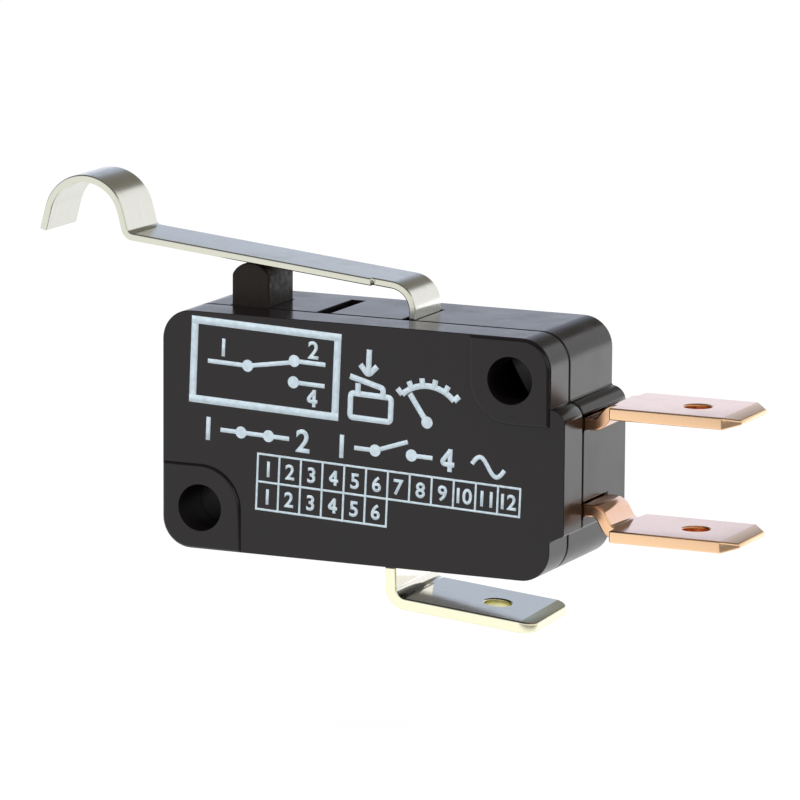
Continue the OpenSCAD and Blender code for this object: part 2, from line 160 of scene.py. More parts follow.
class SwitchFinish(bpy.types.PropertyGroup):
    """Colours of the finishes."""

    body: colour("Body", "Near-black moulded plastic", (0.006, 0.004, 0.0042))
    plunger: colour("Plunger", "Brown-black moulded plastic", (0.017, 0.0128, 0.0108))
    lever_face: colour("Lever face", "Rolled face of the plated lever", (0.8, 0.8, 0.745))
    lever_cut: colour("Lever edge", "Sheared edge of the plated lever", (0.67, 0.67, 0.57))
    copper_face: colour("Copper face", "Rolled face of the copper terminals", (0.95, 0.66, 0.53))
    copper_cut: colour("Copper edge", "Stamped edge of the copper terminals", (0.97, 0.64, 0.39))
    # Partly real tarnish and partly painted shade where the terminals leave the body
    tarnish: colour("Tarnish", "Copper darkened where the terminals leave the body", (0.8, 0.38, 0.21))
    plated_face: colour("Plated face", "Rolled face of the plated terminal", (0.95, 0.93, 0.86))
    plated_cut: colour("Plated edge", "Stamped edge of the plated terminal", (0.92, 0.9, 0.67))
    silver: colour("Contacts", "Silver of the contacts", (0.87, 0.86, 0.83))
    bronze: colour("Blade", "Spring bronze of the snap blade", (0.74, 0.46, 0.18))
    rivet: colour("Rivet", "Steel of the anchor rivet", (0.58, 0.58, 0.57))
    ink: colour("Ink", "Pale printing ink", (0.56, 0.66, 0.72))


class SwitchStage(bpy.types.PropertyGroup):
    """Camera, light and floor."""

    azimuth: angle("Azimuth", "Turn of the camera from the front towards the terminals", 24.507)
    elevation: angle("Elevation", "Height of the camera over the level", 10.46)
    roll: angle("Roll", "Lean of the camera about its own line of sight", 0.377)
    lens: amount("Lens", "Focal length of the camera in millimetres", 287.93)
    distance: length("Distance", "Distance of the camera from its aim", 421.28 * MM)
    aim: FloatVectorProperty(
        name="Aim", description="Point that the camera is set out from", default=(11 * MM, 0, 5 * MM),
        subtype="TRANSLATION")
    offset: FloatVectorProperty(
        name="Offset", description="Move of the camera to its right and up", size=2,
        default=(0.951 * MM, 2.207 * MM))
    floor_drop: length("Floor drop", "Distance from the lowest terminal to the floor", 9 * MM)
    floor_size: length("Floor size", "Width of the floor", 8)
    ceiling: colour("Ceiling", "What bright metal mirrors from overhead", (0.185, 0.172, 0.142))
    cool: colour("Cool backdrop", "What bright metal mirrors from the lever's side", (0.95, 1.0, 1.15))
    dusk: colour("Dusk", "What bright metal mirrors just over the backdrop", (0.475, 0.535, 0.655))
    backdrop: angle("Backdrop", "Height to which metal mirrors the white backdrop", 11.8)
    backdrop_lean: amount("Backdrop lean", "How much higher the backdrop reaches at the terminals", 0.34)
    ceiling_edge: angle("Ceiling edge", "Height over which metal mirrors the dark ceiling", 23.3)
    ceiling_lean: amount("Ceiling lean", "How much lower the ceiling reaches at the terminals", 0.35)
    floor_front: amount("Floor in front", "Brightness of the floor in front, as metal mirrors it", 1.2)
    floor_behind: amount("Floor behind", "Brightness of the floor behind, as metal mirrors it", 1.95)
    floor_shade: amount("Floor shade", "How much darker metal mirrors the floor at the terminals", 0.8)


# Node trees

def new_node(tree, kind, **settings):
    """Adds a node, and sets its own settings."""
    node = tree.nodes.new(kind)
    for name, value in settings.items():
        setattr(node, name, value)
    return node


def feed(tree, socket, source):
    """Links a socket into an input, or sets the input's value."""
    if isinstance(source, bpy.types.NodeSocket):
        tree.links.new(source, socket)
    else:
        socket.default_value = source


def math_node(tree, operation, first, second=0.0):
    """Reckons with one or two values."""
    node = new_node(tree, "ShaderNodeMath", operation=operation)
    feed(tree, node.inputs[0], first)
    feed(tree, node.inputs[1], second)
    return node.outputs[0]


def spread(tree, value, low, high, from_low=0.0, from_high=1.0):
    """Maps a value from one range onto another."""
    node = new_node(tree, "ShaderNodeMapRange")
    for name, source in (("Value", value), ("From Min", from_low), ("From Max", from_high),
                         ("To Min", low), ("To Max", high)):
        feed(tree, node.inputs[name], source)
    return node.outputs["Result"]


def mix_colour(tree, factor, first, second):
    """Goes from the first colour to the second."""
    node = new_node(tree, "ShaderNodeMix", data_type="RGBA")
    feed(tree, node.inputs["Factor"], factor)
    for socket, source in zip([s for s in node.inputs if s.type == "RGBA"], (first, second)):
        feed(tree, socket, source)
    return next(s for s in node.outputs if s.type == "RGBA")


def noise(tree, place, scale, detail, roughness=0.55):
    """Cloudy noise from 0 to 1."""
    node = new_node(tree, "ShaderNodeTexNoise")
    feed(tree, node.inputs["Vector"], place)
    feed(tree, node.inputs["Scale"], scale)
    feed(tree, node.inputs["Detail"], detail)
    feed(tree, node.inputs["Roughness"], roughness)
    return node.outputs["Fac"]


def sized_noise(tree, place, size, detail, roughness=0.55):
    """Cloudy noise whose spots have about the given size."""
    return noise(tree, place, math_node(tree, "DIVIDE", 1.0, size), detail, roughness)


def object_place(tree):
    """The place on the piece, in its own metres."""
    return new_node(tree, "ShaderNodeTexCoord").outputs["Object"]


def split_place(tree, place):
    """The X, Y and Z of a place."""
    node = new_node(tree, "ShaderNodeSeparateXYZ")
    feed(tree, node.inputs[0], place)
    return node.outputs


def stretched_place(tree, along, across):
    """Object coordinates measured in streak lengths along X and Z, and in streak widths along Y."""
    scales = new_node(tree, "ShaderNodeCombineXYZ")
    for axis, size in (("X", along), ("Y", across), ("Z", along)):
        feed(tree, scales.inputs[axis], math_node(tree, "DIVIDE", 1.0, size))
    node = new_node(tree, "ShaderNodeVectorMath", operation="MULTIPLY")
    feed(tree, node.inputs[0], object_place(tree))
    feed(tree, node.inputs[1], scales.outputs[0])
    return node.outputs[0]


def shader_group(name, inputs, outputs):
    """An empty shader group with float inputs and outputs, as (tree, input sockets, output sockets)."""
    tree = bpy.data.node_groups.new(name, "ShaderNodeTree")
    for label, value in inputs.items():
        socket = tree.interface.new_socket(label, in_out="INPUT", socket_type="NodeSocketFloat")
        socket.default_value = value
    for label in outputs:
        tree.interface.new_socket(label, in_out="OUTPUT", socket_type="NodeSocketFloat")
    return tree, new_node(tree, "NodeGroupInput").outputs, new_node(tree, "NodeGroupOutput").inputs


def group(tree, name, **values):
    """Places a shader group in a material with its own values, and returns its outputs."""
    node = new_node(tree, "ShaderNodeGroup", node_tree=bpy.data.node_groups[name])
    for label, value in values.items():
        feed(tree, node.inputs[label.replace("_", " ").capitalize()], value)
    return node.outputs


def build_moulded_grain():
    """Fine grain of a moulded face, and the slow mottle of its gloss."""
    tree, given, put = shader_group(
        "Moulded grain", {"Grain size": 0.2 * MM, "Mottle size": 3 * MM}, ("Height", "Mottle"))
    place = object_place(tree)
    mottle = sized_noise(tree, place, given["Mottle size"], detail=4.0)
    feed(tree, put["Height"], sized_noise(tree, place, given["Grain size"], detail=2.0))
    feed(tree, put["Mottle"], spread(tree, mottle, 0.0, 1.0, from_low=0.3, from_high=0.7))


def build_rolled_streaks():
    """Lines that rolling leaves along a strip, broad and fine."""
    tree, given, put = shader_group(
        "Rolled streaks", {"Streak length": 12 * MM, "Streak width": 0.2 * MM}, ("Broad", "Fine"))
    place = stretched_place(tree, given["Streak length"], given["Streak width"])
    broad = noise(tree, place, scale=1.0, detail=3.0)
    feed(tree, put["Broad"], spread(tree, broad, 0.0, 1.0, from_low=0.3, from_high=0.7))
    feed(tree, put["Fine"], noise(tree, place, scale=5.0, detail=2.0))


def build_cut_edges():
    """Mask of the sheared edges, kept by a piece as an attribute, and the teeth that shearing leaves."""
    tree, given, put = shader_group("Cut edges", {"Tooth size": 0.08 * MM}, ("Cut", "Tooth"))
    mask = new_node(tree, "ShaderNodeAttribute", attribute_name=CUT)
    feed(tree, put["Cut"], mask.outputs["Fac"])
    feed(tree, put["Tooth"], sized_noise(tree, object_place(tree), given["Tooth size"], detail=3.0))


def build_handling_marks():
    """Faint smudges from handling."""
    tree, given, put = shader_group("Handling marks", {"Smudge size": 4 * MM}, ("Smudge",))
    smudge = sized_noise(tree, object_place(tree), given["Smudge size"], detail=5.0, roughness=0.65)
    feed(tree, put["Smudge"], spread(tree, smudge, 0.0, 1.0, from_low=0.52, from_high=0.72))


def new_material(name, **constants):
    """A material with its Principled shader, as (material, tree, shader)."""
    material = bpy.data.materials.new(name)
    material.use_nodes = True
    tree = material.node_tree
    shader = tree.nodes["Principled BSDF"]
    for label, value in constants.items():
        shader.inputs[label.replace("_", " ")].default_value = value
    return material, tree, shader


def bump(tree, shader, height, depth):
    """Gives the shader a surface relief of a real depth."""
    node = new_node(tree, "ShaderNodeBump")
    feed(tree, node.inputs["Height"], height)
    feed(tree, node.inputs["Distance"], depth)
    feed(tree, node.inputs["Strength"], 1.0)
    feed(tree, shader.inputs["Normal"], node.outputs["Normal"])


def opaque(rgb, level=1.0):
    """A colour at a brightness, with full cover."""
    return (*[c * level for c in rgb], 1.0)


def moulded_finish(name, rgb, gloss, grain_depth, mottle_size, ior, shine=0.5):
    """Moulded plastic: fine grain, mottled gloss and faint handling marks."""
    smudge_tint = 0.35
    smudge_dulling = 0.05
    dark, light, greyed = (opaque(rgb, level) for level in (0.85, 1.2, 1.9))
    material, tree, shader = new_material(name, IOR=ior, Specular_IOR_Level=shine)
    grain = group(tree, "Moulded grain", grain_size=0.16 * MM, mottle_size=mottle_size)
    smudge = group(tree, "Handling marks")["Smudge"]
    tone = mix_colour(tree, grain["Mottle"], dark, light)
    tint = math_node(tree, "MULTIPLY", smudge, smudge_tint)
    feed(tree, shader.inputs["Base Color"], mix_colour(tree, tint, tone, greyed))
    dulling = math_node(tree, "MULTIPLY", smudge, smudge_dulling)
    rough = spread(tree, grain["Mottle"], *gloss)
    feed(tree, shader.inputs["Roughness"], math_node(tree, "ADD", rough, dulling))
    bump(tree, shader, grain["Height"], grain_depth)
    return material


def exit_tarnish_and_shade(tree, streaks):
    """How much tarnish and painted shade a terminal gets: nearly full where it leaves the body, and gone a
    little way out.
    """
    full_at = BODY_HIGH.x + 0.5 * MM
    gone_at = BODY_HIGH.x + 2.2 * MM
    near = spread(tree, split_place(tree, object_place(tree))["X"], 0.95, 0.0, full_at, gone_at)
    return math_node(tree, "MULTIPLY", near, spread(tree, streaks, 0.6, 1.0))


def sheet_finish(name, face, cut, gloss, cut_gloss, streak_depth, tarnish=None):
    """Rolled sheet metal: streaks along its faces, toothed cut edges, tarnish with painted shade by the
    body, and painted shade on the walls of the tabs' holes.
    """
    stain_tint = 0.25
    smudge_dulling = 0.06
    tooth_relief = 0.2
    # Painted shade for the walls of the tabs' holes: a darker copy of the edge colour
    hole_wall_shade = opaque([c * c for c in cut], 0.75)
    material, tree, shader = new_material(name, Metallic=1.0)
    streaks = group(tree, "Rolled streaks", streak_length=14 * MM, streak_width=0.25 * MM)
    edges = group(tree, "Cut edges", tooth_size=0.3 * MM)
    smudge = group(tree, "Handling marks", smudge_size=3 * MM)["Smudge"]
    rolled = mix_colour(tree, streaks["Broad"], opaque(face, 0.94), opaque(face))
    stain = math_node(tree, "MULTIPLY", smudge, stain_tint)
    stained = mix_colour(tree, stain, rolled, opaque(cut, 0.85))
    sheared = mix_colour(tree, edges["Tooth"], opaque(cut, 0.92), opaque(cut))
    tone = mix_colour(tree, edges["Cut"], stained, sheared)
    # Painted shade mixed with tarnish near the body, where the terminals leave it
    if tarnish is not None:
        tone = mix_colour(tree, exit_tarnish_and_shade(tree, streaks["Broad"]), tone, opaque(tarnish))
    # Painted shade on the walls of the tabs' holes
    hole_shade = new_node(tree, "ShaderNodeAttribute", attribute_name=HOLE_SHADE).outputs["Fac"]
    feed(tree, shader.inputs["Base Color"], mix_colour(tree, hole_shade, tone, hole_wall_shade))
    dulling = math_node(tree, "MULTIPLY", smudge, smudge_dulling)
    smooth = math_node(tree, "ADD", spread(tree, streaks["Broad"], *gloss), dulling)
    rough = spread(tree, edges["Tooth"], *cut_gloss)
    feed(tree, shader.inputs["Roughness"], spread(tree, edges["Cut"], smooth, rough))
    teeth = math_node(tree, "MULTIPLY", edges["Tooth"], tooth_relief)
    bump(tree, shader, spread(tree, edges["Cut"], streaks["Fine"], teeth), streak_depth)
    return material


def plain_metal_finish(name, rgb, gloss):
    """Turned or headed metal of the small inner pieces, with mottled gloss and a little tarnish."""
    material, tree, shader = new_material(name, Metallic=1.0)
    grain = group(tree, "Moulded grain", grain_size=0.05 * MM, mottle_size=0.6 * MM)
    smudge = group(tree, "Handling marks", smudge_size=0.8 * MM)["Smudge"]
    bright = mix_colour(tree, grain["Mottle"], opaque(rgb, 0.9), opaque(rgb))
    feed(tree, shader.inputs["Base Color"], mix_colour(tree, smudge, bright, opaque(rgb, 0.7)))
    feed(tree, shader.inputs["Roughness"], spread(tree, grain["Mottle"], *gloss))
    bump(tree, shader, grain["Height"], 0.002 * MM)
    return material


def ink_finish(name, rgb):
    """Matt ink from a printing pad, thinner in places."""
    material, tree, shader = new_material(name, IOR=1.45)
    thin = group(tree, "Moulded grain", grain_size=0.09 * MM, mottle_size=0.35 * MM)
    tone = mix_colour(tree, thin["Mottle"], opaque(rgb, 0.78), opaque(rgb))
    feed(tree, shader.inputs["Base Color"], tone)
    feed(tree, shader.inputs["Roughness"], spread(tree, thin["Height"], 0.5, 0.7))
    bump(tree, shader, thin["Height"], 0.004 * MM)
    return material


# Meshes

def merged_copy(node):
    """The node's mesh as a bmesh, with its loose triangles merged into whole faces."""
    shape = bmesh.new()
    shape.from_mesh(frame["nodes"][node].data)
    bmesh.ops.remove_doubles(shape, verts=shape.verts, dist=0.0005 * MM)
    bmesh.ops.dissolve_limit(
        shape, angle_limit=math.radians(0.4), verts=shape.verts, edges=shape.edges, delimit=set())
    return shape


def edge_chains(edges):
    """Groups sharp edges into lines that run on without a corner, as {edge: line number}."""
    sharp = set(edges)
    lines = {}
    for first in edges:
        if first in lines:
            continue
        number = len(lines)
        waiting = [first]
        while waiting:
            edge = waiting.pop()
            if edge in lines:
                continue
            lines[edge] = number
            for corner in edge.verts:
                others = [e for e in corner.link_edges if e in sharp and e is not edge]
                if len(others) != 1:
                    continue
                coming = edge.other_vert(corner).co - corner.co
                going = corner.co - others[0].other_vert(corner).co
                if coming.angle(going, 0) < SMOOTH_TURN:
                    waiting.append(others[0])
    return lines


def break_sizes(edges, size):
    """How far each edge may be rounded: size, or less where another line of edges runs close by."""
    reach = 3 * size
    share_of_gap = 0.4
    lines = edge_chains(edges)
    corners = {}
    for edge, line in lines.items():
        for vert in edge.verts:
            corners.setdefault(vert, set()).add(line)
    meeting = {}
    for met in corners.values():
        for line in met:
            meeting.setdefault(line, set()).update(met)
    samples = []
    for edge in edges:
        count = max(1, math.ceil(edge.calc_length() / (2 * size)))
        a, b = (v.co for v in edge.verts)
        samples += [(a.lerp(b, (k + 0.5) / count), lines[edge]) for k in range(count)]
    tree = KDTree(len(samples))
    for index, (place, _line) in enumerate(samples):
        tree.insert(place, index)
    tree.balance()
    room = {}
    for place, line in samples:
        for _co, index, gap in tree.find_range(place, reach):
            if samples[index][1] not in meeting[line]:
                room[line] = min(room.get(line, gap), gap)
    return {edge: min(size, share_of_gap * room.get(line, reach)) for edge, line in lines.items()}


def flat_object(name, data):
    """A new object at the origin."""
    thing = bpy.data.objects.new(name, data)
    bpy.context.scene.collection.objects.link(thing)
    return thing


def baked_mesh(thing):
    """Turns an object with its modifiers into a plain mesh, and removes the object."""
    bpy.context.view_layer.update()
    depsgraph = bpy.context.evaluated_depsgraph_get()
    mesh = bpy.data.meshes.new_from_object(
        thing.evaluated_get(depsgraph), preserve_all_data_layers=True, depsgraph=depsgraph)
    bpy.data.objects.remove(thing)
    return mesh


def broken_edge_copy(name, node, size, steps, own_size=None):
    """A copy of a CAD node whose sharp edges are rounded by size, or by what own_size gives for an edge."""
    shape = merged_copy(node)
    weights = shape.edges.layers.float.new("bevel_weight_edge")
    sharp = [e for e in shape.edges if len(e.link_faces) == 2 and e.calc_face_angle(0) > SHARP]
    sizes = break_sizes(sharp, size)
    if own_size:
        sizes.update({e: own for e in sharp if (own := own_size(e)) is not None})
    widest = max(sizes.values())
    for edge, broken in sizes.items():
        edge[weights] = broken / widest
    for face in shape.faces:
        face.smooth = True
    mesh = bpy.data.meshes.new(name)
    shape.to_mesh(mesh)
    shape.free()
    thing = flat_object(name, mesh)
    bevel = thing.modifiers.new("Broken edges", "BEVEL")
    bevel.limit_method = "WEIGHT"
    bevel.width = widest
    bevel.segments = steps
    bevel.use_clamp_overlap = False
    bevel.loop_slide = False
    normals = thing.modifiers.new("Flat faces", "WEIGHTED_NORMAL")
    normals.weight = 50
    return flat_object(name, baked_mesh(thing))


def mark_faces(thing, name, share):
    """Stores on the piece how much of an effect each face has, for the finish to read."""
    mask = thing.data.attributes.new(name, "FLOAT", "FACE")
    for polygon in thing.data.polygons:
        mask.data[polygon.index].value = float(share(polygon))


def finish_piece(thing, materials, body, node=None):
    """Gives a piece its finishes, sets it on its body and hides its CAD node, where one is given."""
    thing.data.materials.clear()
    for material in materials:
        thing.data.materials.append(material)
    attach(thing, body)
    if node:
        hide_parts(node)


class SWITCH_OT_groups(bpy.types.Operator):
    """Build the shared shader groups"""

    bl_idname = "switch.build_groups"
    bl_label = "Shared effects"

    def execute(self, context):
        build_moulded_grain()
        build_rolled_streaks()
        build_cut_edges()
        build_handling_marks()
        return {"FINISHED"}


def round_hole(x, z, radius):
    """Whether a place lies within a radius of a mounting hole's axis."""
    return any(math.hypot(x - hole[0], z - hole[2]) < radius for hole in HOLES)


def on_outline(edge):
    """Whether an edge of the parting plane lies on the case's outline, and not round an opening."""
    x, y, z = (edge.verts[0].co + edge.verts[1].co) / 2
    middle = (BODY_LOW + BODY_HIGH) / 2
    side = min((f.normal for f in edge.link_faces), key=lambda n: abs(n.y))
    outward = side.x * (x - middle.x) + side.z * (z - middle.z) > 0
    top_or_floor = min(z - BODY_LOW.z, BODY_HIGH.z - z) < LEVEL
    left_end = BODY_LOW.x + 2 * MM
    right_end = BODY_HIGH.x - 3.1 * MM
    at_end = not left_end < x < right_end
    return y > PARTING_Y - FLUSH and outward and (top_or_floor or at_end)


def body_edge_size(edge, sizes):
    """Round edges for pads, nearly sharp ones for the front and openings, and no own size for the rest."""
    slot_reach = 0.3 * MM
    x, y, z = (edge.verts[0].co + edge.verts[1].co) / 2
    if round_hole(x, z, HOLE_RIM):
        return sizes.front
    if y < PAD_Y + NEAR:
        return sizes.pads
    if y < FRONT_Y + NEAR:
        return sizes.front if edge.is_convex else 0
    if abs(y - PARTING_Y) < NEAR and on_outline(edge):
        return sizes.parting
    if abs(y - PARTING_Y) < slot_reach:
        return sizes.slots
    along = BODY_LOW.x + MM < x < BODY_HIGH.x - 2 * MM
    across = PARTING_Y < y < BODY_HIGH.y - MM
    return sizes.slots if along and across and z > BODY_LOW.z else None


def body_plastic(polygon):
    """Which of the body's plastics a face has: sunk in holes and inside, worn on the pads' upper edges."""
    smooth, worn, sunk = 0, 1, 2
    x, y, z = polygon.center
    is_wall = abs(polygon.normal.y) < 0.8
    faces_up = polygon.normal.z > 0.35
    if is_wall and round_hole(x, z, HOLE_WALL):
        return sunk
    if PAD_Y + 2 * FLUSH < y < FRONT_Y - 2 * FLUSH:
        return worn if faces_up else smooth
    along = BODY_LOW.x + 2 * MM < x < BODY_HIGH.x - 3.5 * MM
    across = abs(y) < BODY_HIGH.y - 0.3 * MM
    under_top = BODY_LOW.z + 0.3 * MM < z < BODY_HIGH.z - 0.06 * MM
    return sunk if along and across and under_top else smooth


class SWITCH_OT_body(bpy.types.Operator):
    """Dress the two halves of the moulded body"""

    bl_idname = "switch.dress_body"
    bl_label = "Case and cover"

    def execute(self, context):
        edges = context.scene.switch_edges
        plastics = [
            moulded_finish(name, context.scene.switch_finish.body, gloss, grain_depth=0.0018 * MM,
                           mottle_size=3.2 * MM, ior=1.4, shine=shine)
            for name, gloss, shine in (
                ("Body plastic", (0.17, 0.24), 0.5),
                ("Pad edge plastic", (0.33, 0.4), 0.34),
                ("Sunk body plastic", (0.5, 0.58), 0.14))]
        for node, name in (("case", "case_moulding"), ("cover", "cover_moulding")):
            piece = broken_edge_copy(
                name, node, edges.body, edges.steps, lambda edge: body_edge_size(edge, edges))
            finish_piece(piece, plastics, "housing", node)
            for polygon in piece.data.polygons:
                polygon.material_index = body_plastic(polygon)
        return {"FINISHED"}


class SWITCH_OT_plunger(bpy.types.Operator):
    """Dress the plunger"""

    bl_idname = "switch.dress_plunger"
    bl_label = "Plunger"

    def execute(self, context):
        edges = context.scene.switch_edges
        plastic = moulded_finish(
            "Plunger plastic", context.scene.switch_finish.plunger, gloss=(0.3, 0.55),
            grain_depth=0.006 * MM, mottle_size=0.5 * MM, ior=1.24)
        piece = broken_edge_copy("plunger_button", "plunger", edges.plunger, edges.steps)
        finish_piece(piece, [plastic], "plunger", "plunger")
        return {"FINISHED"}


class SWITCH_OT_lever(bpy.types.Operator):
    """Dress the lever with its rolled end"""

    bl_idname = "switch.dress_lever"
    bl_label = "Lever"

    def execute(self, context):
        edges = context.scene.switch_edges
        finish = context.scene.switch_finish
        steel = sheet_finish(
            "Plated lever steel", finish.lever_face, finish.lever_cut, gloss=(0.18, 0.24),
            cut_gloss=(0.16, 0.24), streak_depth=0.0008 * MM)
        piece = broken_edge_copy("lever_strip", "lever", edges.lever, edges.steps)
        mark_faces(piece, CUT, lambda p: abs(p.normal.y) > 0.5)
        finish_piece(piece, [steel], "lever", "lever")
        return {"FINISHED"}


def stamped_edge(polygon, tip):
    """Whether a face is on a terminal's sides or its tip."""
    off_flat = 0.12
    at_tip = polygon.normal.x > off_flat and polygon.center.x > tip - MM
    return abs(polygon.normal.y) > off_flat or at_tip


def tab_hole_wall(polygon, tip):
    """Whether a face is in the hole of a terminal's tab, where painted shade darkens the wall."""
    along = tip - 5.5 * MM < polygon.center.x < tip - 2.3 * MM
    across = abs(polygon.center.y) < 1.2 * MM
    is_wall = abs(polygon.normal.z) < 0.6
    return along and across and is_wall


class SWITCH_OT_terminals(bpy.types.Operator):
    """Dress the two copper terminals and the plated common terminal"""

    bl_idname = "switch.dress_terminals"
    bl_label = "Terminals"

    def execute(self, context):
        edges = context.scene.switch_edges
        finish = context.scene.switch_finish
        # The copper gets tarnish and painted shade where it leaves the body
        copper = sheet_finish(
            "Bare copper", finish.copper_face, finish.copper_cut, gloss=(0.07, 0.12),
            cut_gloss=(0.16, 0.26), streak_depth=0.001 * MM, tarnish=finish.tarnish)
        plated = sheet_finish(
            "Plated brass", finish.plated_face, finish.plated_cut, gloss=(0.05, 0.1),
            cut_gloss=(0.16, 0.26), streak_depth=0.001 * MM)
        for node, name, metal, slot in (
                ("normally_closed_terminal", "upper_tab", copper, "terminal_copper"),
                ("normally_open_terminal", "lower_tab", copper, "terminal_copper"),
                ("common_terminal", "common_tab", plated, "terminal_plated")):
            piece = broken_edge_copy(name, node, edges.tabs, edges.steps)
            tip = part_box(node)[1].x
            mark_faces(piece, CUT, lambda p: stamped_edge(p, tip))
            # The walls of the tab's hole get painted shade
            mark_faces(piece, HOLE_SHADE, lambda p: tab_hole_wall(p, tip))
            finish_piece(piece, [metal], "housing", node)
        return {"FINISHED"}


class SWITCH_OT_inside(bpy.types.Operator):
    """Finish the pieces of the mechanism inside the body"""

    bl_idname = "switch.dress_inside"
    bl_label = "Mechanism"

    def execute(self, context):
        finish = context.scene.switch_finish
        silver = plain_metal_finish("Contact silver", finish.silver, gloss=(0.18, 0.34))
        bronze = plain_metal_finish("Spring bronze", finish.bronze, gloss=(0.2, 0.3))
        rivet = plain_metal_finish("Rivet steel", finish.rivet, gloss=(0.25, 0.4))
        for node, metal in (
                ("normally_closed_contact", silver), ("normally_open_contact", silver),
                ("moving_contact", silver), ("snap_blade", bronze), ("anchor_rivet", rivet)):
            frame["nodes"][node].material_slots[0].material = metal
        return {"FINISHED"}


# Front print

def geometry_tree(name, inputs):
    """An empty geometry tree with named inputs, as (tree, input sockets, output socket)."""
    tree = bpy.data.node_groups.new(name, "GeometryNodeTree")
    tree.interface.new_socket("Geometry", in_out="INPUT", socket_type="NodeSocketGeometry")
    for label, kind in inputs.items():
        tree.interface.new_socket(label, in_out="INPUT", socket_type=kind)
    tree.interface.new_socket("Geometry", in_out="OUTPUT", socket_type="NodeSocketGeometry")
    put = new_node(tree, "NodeGroupOutput").inputs["Geometry"]
    return tree, new_node(tree, "NodeGroupInput").outputs, put


def inked(tree, geometry, ink, put):
    """Ends a tree with real geometry in the ink's material."""
    real = new_node(tree, "GeometryNodeRealizeInstances")
    feed(tree, real.inputs["Geometry"], geometry)
    coat = new_node(tree, "GeometryNodeSetMaterial")
    feed(tree, coat.inputs["Geometry"], real.outputs["Geometry"])
    feed(tree, coat.inputs["Material"], ink)
    feed(tree, put, coat.outputs["Geometry"])


def build_printed_strokes():
    """Flat bars of ink that follow the edges of a mesh in the X-Y plane."""
    tree, given, put = geometry_tree("Printed strokes", {
        "Stroke width": "NodeSocketFloat", "Ink height": "NodeSocketFloat", "Ink": "NodeSocketMaterial"})
    path = new_node(tree, "GeometryNodeMeshToCurve")
    feed(tree, path.inputs["Mesh"], given["Geometry"])
    corners = new_node(tree, "GeometryNodeFilletCurve", mode="POLY")
    feed(tree, corners.inputs["Curve"], path.outputs["Curve"])
    feed(tree, corners.inputs["Count"], 3)
    feed(tree, corners.inputs["Radius"], math_node(tree, "MULTIPLY", given["Stroke width"], 0.5))
    feed(tree, corners.inputs["Limit Radius"], True)
    level = new_node(tree, "GeometryNodeSetCurveNormal", mode="Z_UP")
    feed(tree, level.inputs["Curve"], corners.outputs["Curve"])
    section = new_node(tree, "GeometryNodeCurvePrimitiveQuadrilateral")
    feed(tree, section.inputs["Width"], given["Stroke width"])
    feed(tree, section.inputs["Height"], given["Ink height"])
    bars = new_node(tree, "GeometryNodeCurveToMesh")
    feed(tree, bars.inputs["Curve"], level.outputs["Curve"])
    feed(tree, bars.inputs["Profile Curve"], section.outputs["Curve"])
    feed(tree, bars.inputs["Fill Caps"], True)
    inked(tree, bars.outputs["Mesh"], given["Ink"], put)
    return tree


def build_printed_dots():
    """Round spots of ink on the points of a mesh in the X-Y plane."""
    tree, given, put = geometry_tree("Printed dots", {
        "Dot radius": "NodeSocketFloat", "Ink height": "NodeSocketFloat", "Ink": "NodeSocketMaterial"})
    spot = new_node(tree, "GeometryNodeMeshCylinder")
    feed(tree, spot.inputs["Vertices"], 20)
    feed(tree, spot.inputs["Radius"], given["Dot radius"])
    feed(tree, spot.inputs["Depth"], given["Ink height"])
    spots = new_node(tree, "GeometryNodeInstanceOnPoints")
    feed(tree, spots.inputs["Points"], given["Geometry"])
    feed(tree, spots.inputs["Instance"], spot.outputs["Mesh"])
    inked(tree, spots.outputs["Instances"], given["Ink"], put)
    return tree


def grown(tree, points, edges, **values):
    """Runs a geometry tree on points in the X-Y plane, given in millimetres, and returns a plain mesh."""
    mesh = bpy.data.meshes.new(tree.name)
    mesh.from_pydata([(x * MM, y * MM, 0) for x, y in points], edges, [])
    thing = flat_object(tree.name, mesh)
    modifier = thing.modifiers.new(tree.name, "NODES")
    modifier.node_group = tree
    sockets = {s.name: s.identifier for s in tree.interface.items_tree if s.in_out == "INPUT"}
    for label, value in values.items():
        modifier[sockets[label.replace("_", " ").capitalize()]] = value
    return baked_mesh(thing)


def printed_lines(tree, lines, width, ink_height, ink):
    """Prints open or closed lines: each is a list of points, closed where its first point comes again."""
    points = []
    edges = []
    for line in lines:
        first = len(points)
        closed = line[0] == line[-1]
        points += line[:-1] if closed else line
        edges += [(k, k + 1) for k in range(first, len(points) - 1)]
        if closed:
            edges.append((len(points) - 1, first))
    return grown(tree, points, edges, stroke_width=width, ink_height=ink_height, ink=ink)


def printed_number(text, height, centre, baseline, ink_height):
    """Prints a plain number, centred over a point, in millimetres."""
    letters = bpy.data.curves.new("number", "FONT")
    letters.body = text
    letters.offset = 0.023
    letters.space_character = 0.92
    letters.resolution_u = 5
    mesh = baked_mesh(flat_object("number", letters))
    tall = max(v.co.y for v in mesh.vertices)
    middle = (min(v.co.x for v in mesh.vertices) + max(v.co.x for v in mesh.vertices)) / 2
    shape = bmesh.new()
    shape.from_mesh(mesh)
    bmesh.ops.remove_doubles(shape, verts=shape.verts, dist=1e-5)
    bmesh.ops.translate(shape, vec=(-middle, 0, 0), verts=shape.verts)
    bmesh.ops.scale(shape, vec=(height / tall,) * 3, verts=shape.verts)
    bmesh.ops.translate(shape, vec=(centre * MM, baseline * MM, -ink_height / 2), verts=shape.verts)
    raised = bmesh.ops.extrude_face_region(shape, geom=shape.faces[:])["geom"]
    corners = [v for v in raised if isinstance(v, bmesh.types.BMVert)]
    bmesh.ops.translate(shape, vec=(0, 0, ink_height), verts=corners)
    bmesh.ops.recalc_face_normals(shape, faces=shape.faces)
    shape.to_mesh(mesh)
    shape.free()
    return mesh


